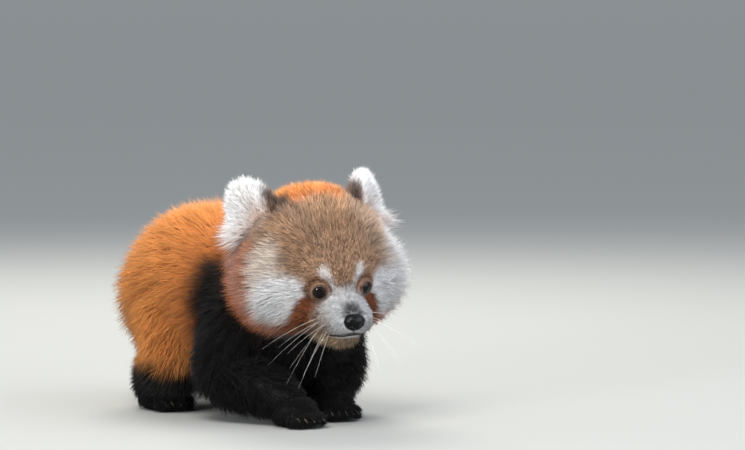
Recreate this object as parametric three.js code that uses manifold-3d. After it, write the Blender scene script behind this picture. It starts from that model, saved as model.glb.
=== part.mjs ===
// A red panda cub of about three months, life-size, standing crouched on all four feet with its head
// low and turned to its right. Millimetres, Z up, on the floor at Z = 0. The cub faces -Y, so its left
// side is +X. The coat is long and woolly: each furred piece is a core, half way from the skin to the
// tips, with flat tapered locks that bend over it along the lie of the hair.
import * as THREE from "three";
import { mergeVertices } from "three/addons/utils/BufferGeometryUtils.js";
import Module from "manifold-3d";

const wasm = await Module();
wasm.setup();

// Driving sizes, in millimetres and degrees
const GAP = 0.3; // kept between pieces that touch
const HEAD_CENTRE = [-10, 63, 107]; // left, forward, up, from the floor between the feet
const HEAD_TURN = 15; // to its right
const HEAD_NOD = 18; // downwards
const HEAD_ROLL = 3.5; // left side up
const BODY_CENTRE = [0, -22, 76];
const EYE_RADIUS = 6.8;
const EYE_OPENING = 5.0; // radius of the bare part of the eye
const EYE = [14.5, 41.0, -0.6]; // on the head
const EYE_OUTWARD = 24; // degrees that each eye looks outward
const NOSE = [0, 68, -14.5];
const EAR = [35, -13, 25]; // middle of the ear's root, on the head
const EAR_LEAN = 40; // degrees back from upright, on the head
const EAR_SPLAY = 22; // degrees outward
const EAR_FACING = 38; // degrees that the cup turns outward
const EAR_HALF = [17, 5.5, 19]; // half its width, thickness and height
const EAR_NARROWING = 0.28; // of its width, from the middle to the top
const EAR_RISE = 0.62; // how far its middle stands above the root, of half its height
const EAR_CUP_HALF = [10.5, 6.5, 14];
const SHARE = 0.5; // of the coat's depth that the cores fill
const SPECK = 0.14; // edges shorter than this are closed up
const ROOM = 1.05; // how much a solid is scaled to clear another one round it
const LOOSE = 7; // how far the coat of one piece keeps off the next
const SIDE_OF = { right: -1, left: 1 };
const SIDES = ["right", "left"];

const at = (left, forward, up) => new THREE.Vector3(left, -forward, up);
const radians = THREE.MathUtils.degToRad;
const sizes = (left, forward, up) => new THREE.Vector3(left, forward, up);

// A seeded draw, so that every build gives the same locks
let seed = 7;
function draw(low, high) {
  seed = (seed * 1664525 + 1013904223) % 4294967296;
  return low + ((high - low) * seed) / 4294967296;
}

// Closed meshes become solids to be joined and cut, and solids become meshes again
function solid(geometry) {
  const bare = geometry.clone();
  bare.deleteAttribute("normal");
  bare.deleteAttribute("uv");
  const merged = mergeVertices(bare, 1e-4);
  return new wasm.Manifold(
    new wasm.Mesh({
      numProp: 3,
      vertProperties: merged.attributes.position.array,
      triVerts: new Uint32Array(merged.index.array),
    }),
  );
}

const joined = (solids) => wasm.Manifold.union(solids);

function largest(whole) {
  return whole.decompose().reduce((a, b) => (b.volume() > a.volume() ? b : a));
}

function geometryOf(whole) {
  const { vertProperties, triVerts } = whole.getMesh();
  const geometry = new THREE.BufferGeometry();
  geometry.setAttribute("position", new THREE.BufferAttribute(vertProperties, 3));
  geometry.setIndex(new THREE.BufferAttribute(triVerts, 1));
  return geometry;
}

function meshOf(name, whole, material) {
  const geometry = geometryOf(largest(largest(whole).simplify(SPECK)));
  geometry.computeVertexNormals();
  const mesh = new THREE.Mesh(geometry, material);
  mesh.name = name;
  return mesh;
}

function moved(geometry, place) {
  const positions = geometry.attributes.position;
  const vertex = new THREE.Vector3();
  for (let i = 0; i < positions.count; i++) {
    const to = place(vertex.fromBufferAttribute(positions, i).clone());
    positions.setXYZ(i, to.x, to.y, to.z);
  }
  return geometry;
}

// A solid grown a little about its middle, to clear another one round it
function roomAround(whole) {
  const geometry = geometryOf(whole);
  geometry.computeBoundingBox();
  const middle = geometry.boundingBox.getCenter(new THREE.Vector3());
  return solid(moved(geometry, (p) => p.sub(middle).multiplyScalar(ROOM).add(middle)));
}

// A mound: the smooth union of round lumps, as seen from its centre. Each lump is a middle and its
// three half widths. coat(direction) is the coat's depth, and furred(direction) is false on bare skin.
class Mound {
  constructor({ centre, lumps, blend, coat, matrix = new THREE.Matrix4() }) {
    Object.assign(this, { centre, lumps, blend, coat, matrix });
    this.inverse = matrix.clone().invert();
  }

  distance(p) {
    let least = Infinity;
    for (const [middle, half] of this.lumps) {
      const q = p.clone().sub(middle);
      const k0 = q.clone().divide(half).length();
      const k1 = q.clone().divide(half).divide(half).length();
      const d = k1 > 0 ? (k0 * (k0 - 1)) / k1 : -half.x;
      const mix = Math.max(this.blend - Math.abs(least - d), 0) / this.blend;
      least = least === Infinity ? d : Math.min(least, d) - (mix * mix * this.blend) / 4;
    }
    return least;
  }

  radius(direction) {
    let near = 0;
    let far = 160;
    for (let i = 0; i < 24; i++) {
      const middle = (near + far) / 2;
      const p = direction.clone().multiplyScalar(middle).add(this.centre);
      if (this.distance(p) > 0) far = middle;
      else near = middle;
    }
    return near;
  }

  // The point over p at share of the coat's depth, and grown by some millimetres more
  over(p, share, grown = 0) {
    const direction = p.clone().applyMatrix4(this.inverse).sub(this.centre).normalize();
    return this.along(direction, share, grown).applyMatrix4(this.matrix);
  }

  along(direction, share, grown = 0) {
    const radius = this.radius(direction) + this.coat(direction) * share + grown;
    return direction.clone().multiplyScalar(radius).add(this.centre);
  }

  // The closed surface at share of the coat's depth, which may be a function of the direction
  shell([around, rows], share, grown = 0) {
    const shareAt = (d) => (typeof share === "function" ? share(d) : share);
    const sphere = moved(new THREE.SphereGeometry(1, around, rows), (p) => {
      const direction = p.normalize();
      return this.along(direction, shareAt(direction), grown).applyMatrix4(this.matrix);
    });
    return solid(sphere);
  }
}

// A limb: a round section that follows a curve through its stations, with round ends. Each station is
// a place, a radius to the skin and the coat's depth there.
class Limb {
  constructor(stations, reference) {
    this.line = new THREE.CatmullRomCurve3(stations.map((s) => s[0]), false, "centripetal");
    this.girth = new THREE.CatmullRomCurve3(stations.map((s) => new THREE.Vector3(s[1], s[2], 0)));
    this.reference = reference;
  }

  // The axes of the section at t, from 0 to 1 along the limb, and its girth
  frame(t) {
    const tangent = this.line.getTangent(t);
    const side = this.reference.clone().addScaledVector(tangent, -this.reference.dot(tangent));
    side.normalize();
    return { tangent, side, front: side.clone().cross(tangent), girth: this.girth.getPoint(t) };
  }

  nearest(p) {
    let best = 0;
    for (let t = 0; t <= 1; t += 1 / 48) {
      const nearer = this.line.getPoint(t).distanceTo(p) < this.line.getPoint(best).distanceTo(p);
      if (nearer) best = t;
    }
    return best;
  }

  over(p, share, grown = 0) {
    const best = this.nearest(p);
    const middle = this.line.getPoint(best);
    const girth = this.girth.getPoint(best);
    const direction = p.clone().sub(middle).normalize();
    return direction.multiplyScalar(girth.x + girth.y * share + grown).add(middle);
  }

  shell([around, rows], share, grown = 0) {
    const capsule = new THREE.CapsuleGeometry(1, 1, 3, around, rows);
    return solid(
      moved(capsule, (p) => {
        const y = THREE.MathUtils.clamp(p.y, -0.5, 0.5);
        const { tangent, side, front, girth } = this.frame(y + 0.5);
        const radius = girth.x + girth.y * share + grown;
        return this.line
          .getPoint(y + 0.5)
          .addScaledVector(tangent, (p.y - y) * radius)
          .addScaledVector(side, p.x * radius)
          .addScaledVector(front, p.z * radius);
      }),
    );
  }
}

// A lock: a flat cone with a ridge, bent over a form along the lie of the hair. Its root is sunk in the
// core, and its tip ends where the coat does. lie(p) gives the way the hair runs at p.
const LOCK_SINK = 3.5; // how deep its root lies in the core
const LOCK_SPECK = 1.0; // edges shorter than this are closed up before the locks are cut
const LOCK_STEPS = 2;
const LOCK_WIDTHS = [0.4, 0.92, 0]; // at the root, half way and the tip, as shares of its width
const LOCK_THICKNESS = 0.34; // of its width
const LOCK_LIFT = 0.8; // less than 1 where it rises early
function lock(form, root, lie, length, width) {
  const bends = [];
  let p = form.over(root, SHARE, -LOCK_SINK);
  for (let i = 0; i <= LOCK_STEPS; i++) {
    const run = lie(p).multiplyScalar(length / LOCK_STEPS);
    if (i > 0) {
      const share = THREE.MathUtils.lerp(SHARE, 1, (i / LOCK_STEPS) ** LOCK_LIFT);
      p = form.over(p.clone().add(run), share);
    }
    const up = form.over(p, 2).sub(form.over(p, 1)).normalize();
    bends.push({ p, up, across: run.clone().cross(up).normalize() });
  }
  const cone = new THREE.ConeGeometry(1, 1, 3, LOCK_STEPS).rotateY(Math.PI);
  return solid(
    moved(cone, (q) => {
      const row = Math.round((q.y + 0.5) * LOCK_STEPS);
      const { p: middle, up, across } = bends[row];
      const girth = Math.max(Math.hypot(q.x, q.z), 1e-6);
      const spread = girth > 1e-3 ? (LOCK_WIDTHS[row] * width) / (1 - row / LOCK_STEPS || 1) : 0;
      return middle
        .clone()
        .addScaledVector(across, q.x * spread)
        .addScaledVector(up, q.z * spread * LOCK_THICKNESS * 2);
    }),
  );
}

// Directions spread evenly over a sphere, turn by turn
function* spread(count) {
  for (let i = 0; i < count; i++) {
    const y = 1 - (2 * (i + 0.5)) / count;
    const angle = i * Math.PI * (3 - Math.sqrt(5));
    const ring = Math.sqrt(1 - y * y);
    yield new THREE.Vector3(ring * Math.cos(angle), y, ring * Math.sin(angle));
  }
}

// Locks over a mound where wanted(direction, root) says so. count is for the whole mound.
function moundLocks(form, { count, length, width }, lie, wanted = () => true) {
  const made = [];
  for (const direction of spread(count)) {
    const size = draw(0.85, 1.15);
    const root = form.along(direction, SHARE).applyMatrix4(form.matrix);
    if (wanted(direction, root)) made.push(lock(form, root, lie, length * size, width * size));
  }
  return joined(made).simplify(LOCK_SPECK);
}

// Locks round a limb, in rings staggered by half a lock
function limbLocks(form, { rings, around, length, width, from, to }) {
  const lie = (p) => form.frame(form.nearest(p)).tangent.clone();
  const made = [];
  for (let row = 0; row < rings; row++) {
    const t = THREE.MathUtils.lerp(from, to, (row + 0.5) / rings);
    const { side, front, girth } = form.frame(t);
    for (let i = 0; i < around; i++) {
      const angle = ((i + (row % 2) / 2 + draw(-0.1, 0.1)) / around) * 2 * Math.PI;
      const out = side.clone().multiplyScalar(Math.cos(angle)).addScaledVector(front, Math.sin(angle));
      const root = form.line.getPoint(t).addScaledVector(out, girth.x);
      const size = draw(0.9, 1.1);
      made.push(lock(form, root, lie, length * size, width * size));
    }
  }
  return joined(made).simplify(LOCK_SPECK);
}

// The floor takes all that would reach below it
const underFloor = solid(new THREE.BoxGeometry(900, 900, 200).translate(0, 0, -100));

// Head
const headPose = new THREE.Matrix4().compose(
  at(...HEAD_CENTRE),
  new THREE.Quaternion().setFromEuler(
    new THREE.Euler(radians(HEAD_NOD), -radians(HEAD_ROLL), -radians(HEAD_TURN), "ZXY"),
  ),
  new THREE.Vector3(1, 1, 1),
);
const onHead = (left, forward, up) => at(left, forward, up).applyMatrix4(headPose);

// The coat is shortest on the muzzle and round the eyes, and longest on the cheeks
const FACE_COAT = 3;
const CROWN_COAT = 10;
const CHEEK_COAT = 15;
function headCoat(direction) {
  const face = THREE.MathUtils.smoothstep(-direction.y, 0.45, 0.85);
  const cheek = THREE.MathUtils.smoothstep(Math.abs(direction.x) - direction.z, 0.1, 0.9);
  return THREE.MathUtils.lerp(
    THREE.MathUtils.lerp(CROWN_COAT, CHEEK_COAT, cheek),
    FACE_COAT,
    face,
  );
}

// The face is modelled to the tips of its short hair, and the rest of the head's core lies under its locks
const headShare = (d) => THREE.MathUtils.lerp(SHARE, 1, THREE.MathUtils.smoothstep(-d.y, 0.45, 0.7));

const head = new Mound({
  centre: at(0, 0, 0),
  blend: 9,
  coat: headCoat,
  matrix: headPose,
  lumps: [
    [at(0, -4, 6), sizes(41, 44, 38)], // skull
    [at(-20, 4, -8), sizes(28, 29, 24)], // cheeks
    [at(20, 4, -8), sizes(28, 29, 24)],
    [at(-17, 22, -20), sizes(15, 17, 12)], // jowls
    [at(17, 22, -20), sizes(15, 17, 12)],
    [at(0, 24, 1), sizes(26, 22, 23)], // face between and round the eyes
    [at(0, 46, -16), sizes(14, 21, 12)], // muzzle
    [at(0, 42, -25), sizes(13, 18, 8)], // lower jaw
    [at(-7, 51, -18), sizes(10, 14, 9)], // whisker pads
    [at(7, 51, -18), sizes(10, 14, 9)],
  ],
});

const BODY_COAT = 18;
const body = new Mound({
  centre: at(...BODY_CENTRE),
  blend: 16,
  coat: () => BODY_COAT,
  lumps: [
    [at(-2, -65, 81), sizes(46, 48, 48)], // rump
    [at(0, -15, 76), sizes(43, 44, 43)], // belly and back
    [at(0, 14, 68), sizes(38, 34, 34)], // shoulders and chest
    [at(-4, 30, 88), sizes(28, 28, 26)], // neck
  ],
});

// Eyes and the lids round them. The lids are a thin shell over the ball, open in front.
function eyeFrame(side) {
  const [left, forward, up] = EYE;
  return headPose
    .clone()
    .multiply(new THREE.Matrix4().setPosition(at(side * left, forward, up)))
    .multiply(new THREE.Matrix4().makeRotationZ(side * radians(EYE_OUTWARD)));
}
const LID = 1.6; // how thick the lids are
const ball = (side, radius) =>
  solid(new THREE.SphereGeometry(radius, 12, 8).applyMatrix4(eyeFrame(side)));
const opening = (side) =>
  solid(
    new THREE.CylinderGeometry(EYE_OPENING + 1, EYE_OPENING, 12, 14)
      .rotateX(Math.PI)
      .translate(0, -EYE_RADIUS - 2, 0)
      .applyMatrix4(eyeFrame(side)),
  );

// The mouth is a groove from corner to corner, round under the tip of the muzzle
const MOUTH = [
  [-13, 50, -25],
  [-8, 60, -22],
  [0, 66, -22],
  [8, 60, -22],
  [13, 50, -25],
];
const MOUTH_GROOVE = 0.9; // its radius
const mouthLine = MOUTH.map(([left, forward, up]) => {
  const p = head.over(onHead(left, forward, up), 1, -0.2);
  return [p, MOUTH_GROOVE, 0];
});
const mouth = new Limb(mouthLine, at(0, 0, 1)).shell([6, 12], 0);

// The nose: a broad pad at the tip of the muzzle, with two nostrils that open to the front and sides
const NOSE_HALF = [7, 4.6, 5.4];
const nosePad = (grown) =>
  solid(
    new THREE.SphereGeometry(1, 12, 8)
      .scale(NOSE_HALF[0] + grown, NOSE_HALF[1] + grown, NOSE_HALF[2] + grown)
      .applyMatrix4(new THREE.Matrix4().setPosition(at(...NOSE)))
      .applyMatrix4(headPose),
  );
const NOSTRIL = [3.2, 72.2, -15.4];
const NOSTRIL_HALF = [1.8, 2.2, 1.3];
const nostril = (side) =>
  solid(
    new THREE.SphereGeometry(1, 8, 6)
      .scale(...NOSTRIL_HALF)
      .translate(...at(side * NOSTRIL[0], NOSTRIL[1], NOSTRIL[2]).toArray())
      .applyMatrix4(headPose),
  );

// Ears: a rounded leaf that stands on the head, hollowed in front into a cup
function earFrame(side) {
  const [left, forward, up] = EAR;
  return headPose
    .clone()
    .multiply(new THREE.Matrix4().setPosition(at(side * left, forward, up)))
    .multiply(
      new THREE.Matrix4().makeRotationFromEuler(
        new THREE.Euler(-radians(EAR_LEAN), side * radians(EAR_SPLAY), side * radians(EAR_FACING), "XYZ"),
      ),
    );
}
function earLeaf(side, grown) {
  const leaf = moved(new THREE.SphereGeometry(1, 12, 8), (p) => {
    const narrowing = 1 - EAR_NARROWING * p.z;
    return new THREE.Vector3(
      p.x * (EAR_HALF[0] * narrowing + grown),
      p.y * (EAR_HALF[1] + grown),
      p.z * (EAR_HALF[2] + grown) + EAR_HALF[2] * EAR_RISE,
    ).applyMatrix4(earFrame(side));
  });
  return solid(leaf);
}
const earCup = (side) =>
  solid(
    new THREE.SphereGeometry(1, 8, 6)
      .scale(...EAR_CUP_HALF)
      .translate(0, -6.4, EAR_HALF[2] * 0.7)
      .applyMatrix4(earFrame(side)),
  );

// Legs: from a place inside the body down to the wrist or the hock. The elbows are low and turned out,
// and the left forefoot stands back and inward.
const LEGS = {
  foreleg_right: [
    [at(-29, 14, 66), 21, 12],
    [at(-42, 10, 35), 17, 12],
    [at(-37, 38, 25), 13, 10],
    [at(-32, 55, 17), 11, 7],
  ],
  foreleg_left: [
    [at(29, 14, 66), 21, 12],
    [at(34, 24, 38), 17, 12],
    [at(24, 36, 25), 13, 10],
    [at(17, 41, 17), 11, 7],
  ],
  hindleg_right: [
    [at(-28, -58, 66), 25, 14],
    [at(-38, -52, 41), 20, 12],
    [at(-40, -68, 26), 15, 10],
    [at(-38, -80, 17), 12, 8],
  ],
  hindleg_left: [
    [at(28, -58, 66), 25, 14],
    [at(38, -52, 41), 20, 12],
    [at(40, -70, 26), 15, 10],
    [at(38, -84, 17), 12, 8],
  ],
};
const LEG_FACETS = [8, 6];
const LEG_LOCKS = { rings: 2, around: 4, length: 38, width: 11, from: 0.35, to: 0.85 };

// Paws: a flat sole, five toes and their claws
const PAW_HEIGHT = 9.5; // half the height of its palm, which sinks into the floor to make the sole
const PAW_COAT = 5;
const PAW_SHARE = 0.6; // of the coat's depth that the paw fills
const PAW_FACETS = [14, 9];
const TOES = 5;
const TOE_SPREAD = 62; // degrees between the outer toes
const TOE_HALF = [4.1, 6.2, 4.6];
const TOE_DROP = 3.4; // how far the toes lie below the middle of the palm
const CLAW = { length: 6.5, radius: 1.15, root: 2.7, curl: 3.6, drop: 0.6, splay: 2.5 };
function paw(middle, turn, length, width) {
  const place = new THREE.Matrix4()
    .setPosition(middle)
    .multiply(new THREE.Matrix4().makeRotationZ(radians(turn)));
  const lumps = [[at(0, 0, 0), sizes(width, length, PAW_HEIGHT)]];
  const tips = [];
  for (let i = 0; i < TOES; i++) {
    const angle = radians((i / (TOES - 1) - 0.5) * TOE_SPREAD);
    const reach = length * (0.98 - 0.32 * Math.abs(Math.sin(angle)));
    const left = -Math.sin(angle) * width * 1.35;
    lumps.push([at(left, reach, -TOE_DROP), sizes(...TOE_HALF)]);
    tips.push({ left, reach, angle });
  }
  const form = new Mound({
    centre: at(0, 0, 0), blend: 2.5, coat: () => PAW_COAT, matrix: place, lumps,
  });
  return { form, tips, place };
}

// A claw curls down and outward from inside the toe
function claw({ left, reach, angle }, place) {
  return solid(
    moved(new THREE.ConeGeometry(1, 1, 5, 3), (p) => {
      const s = p.y + 0.5;
      const aside = left - Math.sin(angle) * CLAW.splay * s;
      const down = CLAW.curl * s * s + CLAW.drop;
      return at(aside, reach + CLAW.root + CLAW.length * s, -down)
        .add(new THREE.Vector3(p.x * CLAW.radius, 0, p.z * CLAW.radius))
        .applyMatrix4(place);
    }),
  );
}
const PAWS = {
  forepaw_right: [at(-31, 66, 9.2), -4, 15, 12.5],
  forepaw_left: [at(14, 50, 9.2), -12, 15, 12.5],
  hindpaw_right: [at(-38, -73, 9.2), -8, 19, 12.5],
  hindpaw_left: [at(38, -77, 9.2), 8, 19, 12.5],
};

// Tail: from the rump down to the floor and round the left hind leg, in three lengths
const tailLine = [
  [at(0, -98, 64), 11, 14],
  [at(5, -122, 42), 10, 16],
  [at(24, -139, 29), 9, 18],
  [at(56, -143, 27), 9, 18],
  [at(88, -130, 26), 8, 18],
  [at(106, -104, 24), 7, 17],
  [at(112, -78, 20), 5, 15],
];
const TAIL_CUTS = [0.36, 0.68]; // where its lengths part, as shares of the whole
const TAIL_LOCKS = { rings: 8, around: 4, length: 46, width: 12.5, from: 0.12, to: 0.97 };

const material = (color, roughness) =>
  new THREE.MeshStandardMaterial({ color, roughness, metalness: 0 });
const rust = material("#a4501f", 0.9);
const sable = material("#1d1715", 0.9);
const cream = material("#c9beb0", 0.9);
const buff = material("#9a7350", 0.9);
const leather = material("#16120f", 0.35);
const eyeball = material("#120c08", 0.05);

// Eyes and their sockets, ears and nose cut the head
const HEAD_FACETS = [22, 14];
const headCore = joined([
  head.shell(HEAD_FACETS, headShare),
  ...SIDES.map((s) => ball(SIDE_OF[s], EYE_RADIUS + LID)),
]).subtract(joined([
  ...SIDES.map((s) => ball(SIDE_OF[s], EYE_RADIUS + GAP)),
  ...SIDES.map((s) => opening(SIDE_OF[s])),
  ...SIDES.map((s) => earLeaf(SIDE_OF[s], GAP)),
  mouth,
  nosePad(GAP),
]));
const headGrown = head.shell(HEAD_FACETS, headShare, GAP);
const headFur = head.shell([14, 9], 1, LOOSE);

// On the head the hair runs away from the bridge of the nose, and none grows long on the face
const BRIDGE = onHead(0, 62, -4);
const headLie = (p) => p.clone().sub(BRIDGE).normalize();
const HEAD_LOCKS = { count: 92, length: 46, width: 11 };
const FACE_EDGE = 0.5; // how far forward the locks grow, as the cosine of the angle from straight ahead
const NECK_RADIUS = 24.8; // no locks grow under the neck's root
const neckRoot = body.along(at(-4, 52, 12).normalize(), 0);
const isFurred = (direction, root) =>
  -direction.y < FACE_EDGE && root.distanceTo(neckRoot) > NECK_RADIUS;
const headLocks = moundLocks(head, HEAD_LOCKS, headLie, isFurred);

// The body is one form, parted by a thin cut between the torso and the neck
const BODY_FACETS = [18, 12];
const BODY_LOCKS = { count: 74, length: 76, width: 16 };
const NECK_PLACE = at(-2, 22, 90);
const NECK_AXIS = at(-8, 62, 26).normalize();
const UP = at(0, 0, 1);
const beforeNeck = (gap) =>
  solid(
    new THREE.BoxGeometry(300, 300, 300)
      .translate(0, 0, 150 + gap)
      .applyQuaternion(new THREE.Quaternion().setFromUnitVectors(UP, NECK_AXIS))
      .translate(...NECK_PLACE.toArray()),
  );
const bodyCore = body.shell(BODY_FACETS, SHARE);
const bodyGrown = body.shell(BODY_FACETS, SHARE, GAP);
const bodyLie = () => at(0, -0.86, -0.5);

const looks = { head: buff, neck: sable, torso: rust };
const cores = new Map();
const locks = new Map();
const whole = (name) => cores.get(name).add(locks.get(name));
const legsGrown = [];
const furs = []; // what the body's locks keep clear of, out to the tips

function addEyeAndEar(s) {
  const side = SIDE_OF[s];
  cores.set("eye_" + s, ball(side, EYE_RADIUS));
  looks["eye_" + s] = eyeball;
  cores.set("ear_" + s, earLeaf(side, 0).subtract(earCup(side)));
  looks["ear_" + s] = cream;
}

function addLeg(which, s) {
  const legName = which + "leg_" + s;
  const pawName = which + "paw_" + s;
  const limb = new Limb(LEGS[legName], at(1, 0, 0));
  const { form, tips, place } = paw(...PAWS[pawName]);
  const sole = form.shell(PAW_FACETS, PAW_SHARE);
  const soleGrown = form.shell(PAW_FACETS, PAW_SHARE, GAP);
  cores.set(pawName, joined([sole, ...tips.map((tip) => claw(tip, place))]));
  looks[pawName] = sable;
  cores.set(
    legName,
    limb.shell(LEG_FACETS, SHARE).subtract(joined([soleGrown, bodyGrown, headGrown])),
  );
  locks.set(
    legName,
    limbLocks(limb, LEG_LOCKS).subtract(joined([soleGrown, bodyGrown, headFur])),
  );
  looks[legName] = sable;
  legsGrown.push(limb.shell(LEG_FACETS, SHARE, GAP));
  furs.push(roomAround(whole(legName)), limb.shell([10, 6], 1, LOOSE), form.shell([8, 6], 1, LOOSE - 3));
}

for (const s of SIDES) {
  addEyeAndEar(s);
  addLeg("fore", s);
  addLeg("hind", s);
}

const tail = new Limb(tailLine, UP);
const tailPlane = (t, gap) =>
  solid(
    new THREE.BoxGeometry(120, 120, 120)
      .translate(0, 0, 60 + gap)
      .applyQuaternion(new THREE.Quaternion().setFromUnitVectors(UP, tail.frame(t).tangent))
      .translate(...tail.line.getPoint(t).toArray()),
  );
const tailWhole = tail.shell([8, 14], SHARE).add(limbLocks(tail, TAIL_LOCKS));
const tailFur = tail.shell([8, 12], 1, LOOSE - 2);
const bodyLocks = moundLocks(body, BODY_LOCKS, bodyLie).subtract(joined([headFur, ...furs, tailFur]));
const earsGrown = SIDES.map((s) => earLeaf(SIDE_OF[s], GAP));

cores.set("head", headCore);
locks.set("head", headLocks.subtract(joined([bodyGrown, ...legsGrown, ...earsGrown])));
cores.set("nose", nosePad(0).subtract(joined([nostril(-1), nostril(1)])));
looks.nose = leather;
cores.set("torso", bodyCore.subtract(joined([beforeNeck(0), headGrown])));
locks.set("torso", bodyLocks.subtract(beforeNeck(0)));
cores.set("neck", bodyCore.intersect(beforeNeck(GAP)).subtract(headGrown));
locks.set("neck", bodyLocks.intersect(beforeNeck(GAP)));
const [rootEnd, middleEnd] = TAIL_CUTS;
const pastRoot = tailWhole.intersect(tailPlane(rootEnd, GAP));
cores.set("tail_root", tailWhole.subtract(bodyGrown).subtract(tailPlane(rootEnd, 0)));
cores.set("tail_middle", pastRoot.subtract(tailPlane(middleEnd, 0)));
cores.set("tail_tip", tailWhole.intersect(tailPlane(middleEnd, GAP)));
for (const name of ["tail_root", "tail_middle", "tail_tip"]) looks[name] = rust;

const panda = new THREE.Group();
for (const name of cores.keys()) {
  const piece = locks.has(name) ? whole(name) : cores.get(name);
  panda.add(meshOf(name, piece.subtract(underFloor), looks[name]));
}

// The part's origin is on the floor, under the middle of its box
const box = new THREE.Box3().setFromObject(panda);
const middle = box.getCenter(new THREE.Vector3());
panda.position.set(-middle.x, -middle.y, 0);

export default panda;
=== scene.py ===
import math

import bmesh
import bpy
import numpy as np
from mathutils import Matrix, Vector
from mathutils.kdtree import KDTree


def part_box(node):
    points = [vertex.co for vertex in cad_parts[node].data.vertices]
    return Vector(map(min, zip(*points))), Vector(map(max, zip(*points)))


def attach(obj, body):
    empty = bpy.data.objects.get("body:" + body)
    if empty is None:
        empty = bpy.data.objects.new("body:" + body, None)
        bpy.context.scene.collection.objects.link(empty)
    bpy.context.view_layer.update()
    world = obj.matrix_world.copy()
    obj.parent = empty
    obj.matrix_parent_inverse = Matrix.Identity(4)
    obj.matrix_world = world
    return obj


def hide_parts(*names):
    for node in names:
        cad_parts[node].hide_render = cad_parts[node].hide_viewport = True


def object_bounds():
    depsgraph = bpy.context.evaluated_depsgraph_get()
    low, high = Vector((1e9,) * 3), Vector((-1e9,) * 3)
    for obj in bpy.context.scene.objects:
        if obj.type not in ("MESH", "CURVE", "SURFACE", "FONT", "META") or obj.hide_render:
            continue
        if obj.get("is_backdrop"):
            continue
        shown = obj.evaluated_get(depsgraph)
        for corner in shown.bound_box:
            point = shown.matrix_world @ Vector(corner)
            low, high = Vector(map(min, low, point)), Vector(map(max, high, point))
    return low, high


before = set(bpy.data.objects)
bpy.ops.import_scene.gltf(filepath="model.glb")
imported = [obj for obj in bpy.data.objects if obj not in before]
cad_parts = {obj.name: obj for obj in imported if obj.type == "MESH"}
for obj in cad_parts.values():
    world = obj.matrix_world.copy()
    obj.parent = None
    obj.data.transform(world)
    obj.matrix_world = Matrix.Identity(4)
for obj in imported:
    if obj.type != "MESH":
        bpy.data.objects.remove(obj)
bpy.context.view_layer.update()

# The cub's stance in the frame
# The cub faces -Y. Places on it are given in millimetres as (left, forward, up) from a point on the
# floor between its feet, and places on its head from the middle of the head, along the head's own axes.
# The frame's right eyeball fixes where that point is.
MM = 0.001
HEAD_CENTRE = (-10, 63, 107)
HEAD_TURN, HEAD_NOD, HEAD_ROLL = 15, 18, 3.5  # degrees to its right, down, and over to one side
EYE = (14.5, 41.0, -0.6)  # the middle of the left eye, on the head


def at(left, forward, up):
    return np.array([left, -forward, up], float)


head_turned = (
    Matrix.Rotation(math.radians(-HEAD_TURN), 3, "Z")
    @ Matrix.Rotation(math.radians(HEAD_NOD), 3, "X")
    @ Matrix.Rotation(math.radians(-HEAD_ROLL), 3, "Y")
)
HEAD_AXES = np.array(head_turned)


def on_head(left, forward, up):
    return HEAD_AXES @ at(left, forward, up) + at(*HEAD_CENTRE)


eye_low, eye_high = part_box("eye_right")
ORIGIN = np.array((eye_low + eye_high) / 2) / MM - on_head(-EYE[0], EYE[1], EYE[2])


def placed(points):
    """Points in millimetres on the cub, as metres in the model's frame"""
    return (np.asarray(points, float) + ORIGIN) * MM


# Camera
# It stands two metres off at the cub's front right, a little above its head, with a long lens, and is
# aimed so that the middle of the head stands where HEAD_PX says.
AZIMUTH, ELEVATION = math.radians(-40), math.radians(3)
DISTANCE = 2.0
FRAME_WIDTH = 0.497  # what the frame takes in at the head, in metres
FRAME_PX = (745, 450)
HEAD_PX = (316, 264)  # where the middle of the head stands in the frame
SENSOR = 36  # its width in millimetres

back = Vector((math.sin(AZIMUTH) * math.cos(ELEVATION), -math.cos(AZIMUTH) * math.cos(ELEVATION),
               math.sin(ELEVATION)))
rightward = Vector((0, 0, 1)).cross(back).normalized()
upward = back.cross(rightward)
px = FRAME_WIDTH / FRAME_PX[0]
aim = (
    Vector(placed(at(*HEAD_CENTRE)))
    + rightward * (FRAME_PX[0] / 2 - HEAD_PX[0]) * px
    + upward * (HEAD_PX[1] - FRAME_PX[1] / 2) * px
)
camera_data = bpy.data.cameras.new("camera")
camera_data.sensor_width = SENSOR
camera_data.lens = SENSOR * DISTANCE / FRAME_WIDTH
camera = bpy.data.objects.new("camera", camera_data)
camera.location = aim + back * DISTANCE
camera.rotation_euler = (-back).to_track_quat("-Z", "Y").to_euler()
bpy.context.scene.collection.objects.link(camera)
bpy.context.scene.camera = camera
bpy.context.scene.view_settings.view_transform = "Standard"


# Floor and light
# A plain floor under an even white sky, with a soft lamp at the upper left, a low one that the eyes catch,
# a weak fill, and a light from behind that rims the coat. The sky's foot has the tone of the far floor, so
# no horizon shows.
FLOOR_HALF = 30.0
FLOOR_COLOUR, FLOOR_SHADE = "#959693", "#91928f"
SKY_COLOUR = "#e6edf7"
SKY_STRENGTH = 1.14
SKY_RISE = 0.45  # the sine of the elevation where the sky is at its full brightness
FOOT_SHARE = 0.061  # of the light on the floor, how much comes from the sky's foot
LAMPS = {  # azimuth and elevation of where it stands, size in metres, watts, colour
    "key": (-60, 52, 0.8, 28, "#fffaf3"),
    "catch": (-74, 12, 0.3, 16, "#ffffff"),
    "fill": (24, 25, 1.6, 26, "#f2f5ff"),
    "rim": (150, 50, 0.9, 35, "#fffaf2"),
}
LAMP_DISTANCE = 1.7
LAMPS_AIM_HEIGHT = 80
PAINT_MOTTLE = 110  # millimetres between patches of slightly darker paint


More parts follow.
